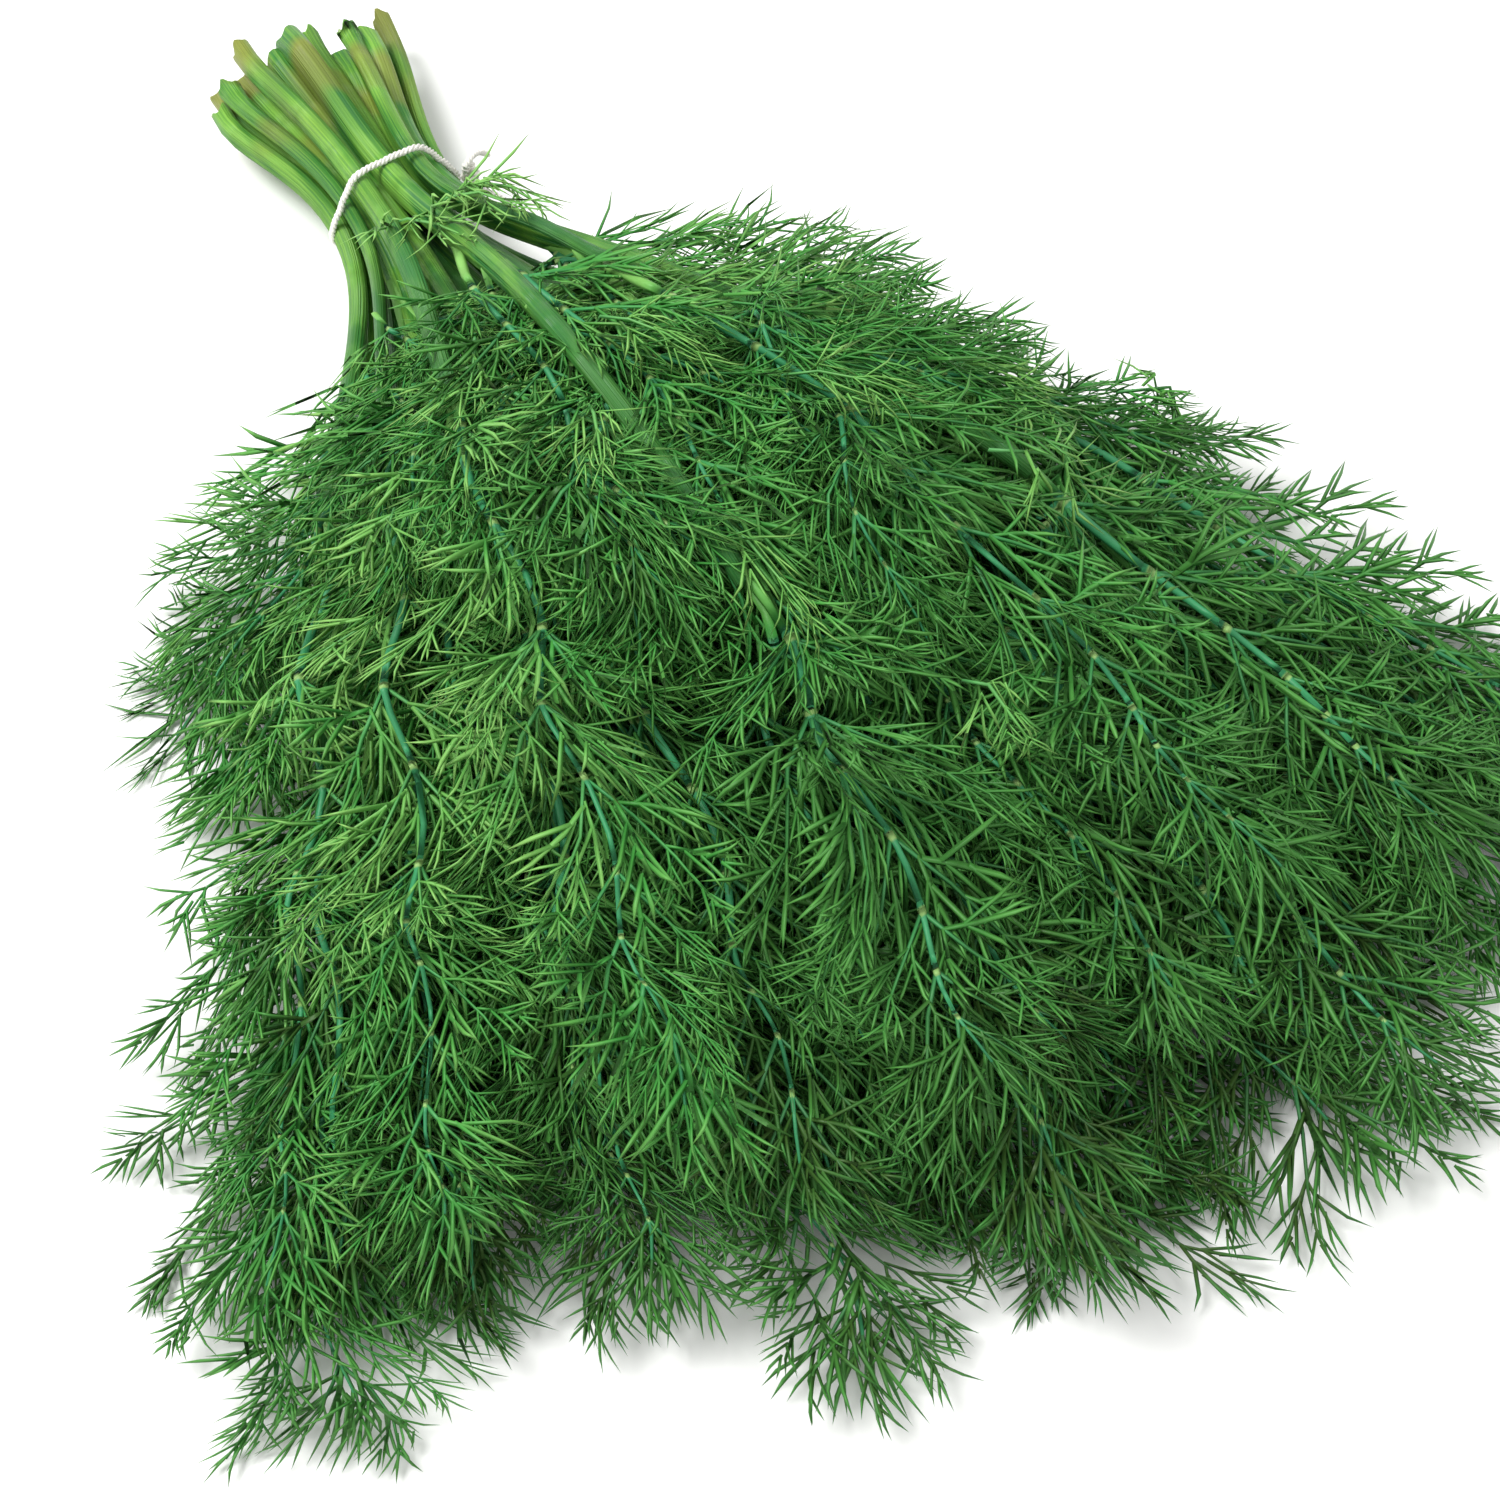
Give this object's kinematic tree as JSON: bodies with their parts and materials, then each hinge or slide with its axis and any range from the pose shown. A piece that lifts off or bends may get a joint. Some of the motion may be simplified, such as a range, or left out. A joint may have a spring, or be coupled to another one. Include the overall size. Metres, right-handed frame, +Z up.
{
  "type": "bunch of dill",
  "caption": "Tied bunch of fresh dill lying on its side, with a fan of feathery leaves, bare cut stems and a cotton string round them.",
  "frame": {"origin": "under the middle of the bunch's box, on the surface that it lies on", "axes": "+Y along the bunch towards the cut ends, so the leaf tips point to -Y; +X across the bunch; +Z up"},
  "size_m": [0.3012, 0.3386, 0.0709],
  "materials": {
    "dill_stem": "fresh green ribbed herb stem, slightly waxy",
    "dill_leaf": "fresh dark green thread-like leaf, matte to satin",
    "cotton_string": "twisted white cotton string"
  },
  "bodies": {
    "root": {"leaf_01": "dill_leaf", "stem_01": "dill_stem", "leaf_02_left": "dill_leaf", "leaf_02_right": "dill_leaf", "leaf_02_tip": "dill_leaf", "stem_02": "dill_stem", "leaf_03": "dill_leaf", "stem_03": "dill_stem", "leaf_04_left": "dill_leaf", "leaf_04_right": "dill_leaf", "leaf_04_tip": "dill_leaf", "stem_04": "dill_stem", "leaf_05": "dill_leaf", "stem_05": "dill_stem", "leaf_06_left": "dill_leaf", "leaf_06_right": "dill_leaf", "leaf_06_tip": "dill_leaf", "stem_06": "dill_stem", "leaf_07": "dill_leaf", "stem_07": "dill_stem", "leaf_08": "dill_leaf", "stem_08": "dill_stem", "leaf_09_left": "dill_leaf", "leaf_09_right": "dill_leaf", "leaf_09_tip": "dill_leaf", "stem_09": "dill_stem", "leaf_10": "dill_leaf", "stem_10": "dill_stem", "leaf_11_left": "dill_leaf", "leaf_11_right": "dill_leaf", "leaf_11_tip": "dill_leaf", "stem_11": "dill_stem", "leaf_12": "dill_leaf", "stem_12": "dill_stem", "leaf_13": "dill_leaf", "stem_13": "dill_stem", "leaf_14_left": "dill_leaf", "leaf_14_right": "dill_leaf", "leaf_14_tip": "dill_leaf", "stem_14": "dill_stem", "leaf_15": "dill_leaf", "stem_15": "dill_stem", "leaf_16_left": "dill_leaf", "leaf_16_right": "dill_leaf", "leaf_16_tip": "dill_leaf", "stem_16": "dill_stem", "leaf_17": "dill_leaf", "stem_17": "dill_stem", "leaf_18_left": "dill_leaf", "leaf_18_right": "dill_leaf", "leaf_18_tip": "dill_leaf", "stem_18": "dill_stem", "leaf_19": "dill_leaf", "stem_19": "dill_stem", "string_loop": "cotton_string", "string_knot": "cotton_string", "string_tail_1": "cotton_string", "string_tail_2": "cotton_string"}
  },
  "joints": []
}
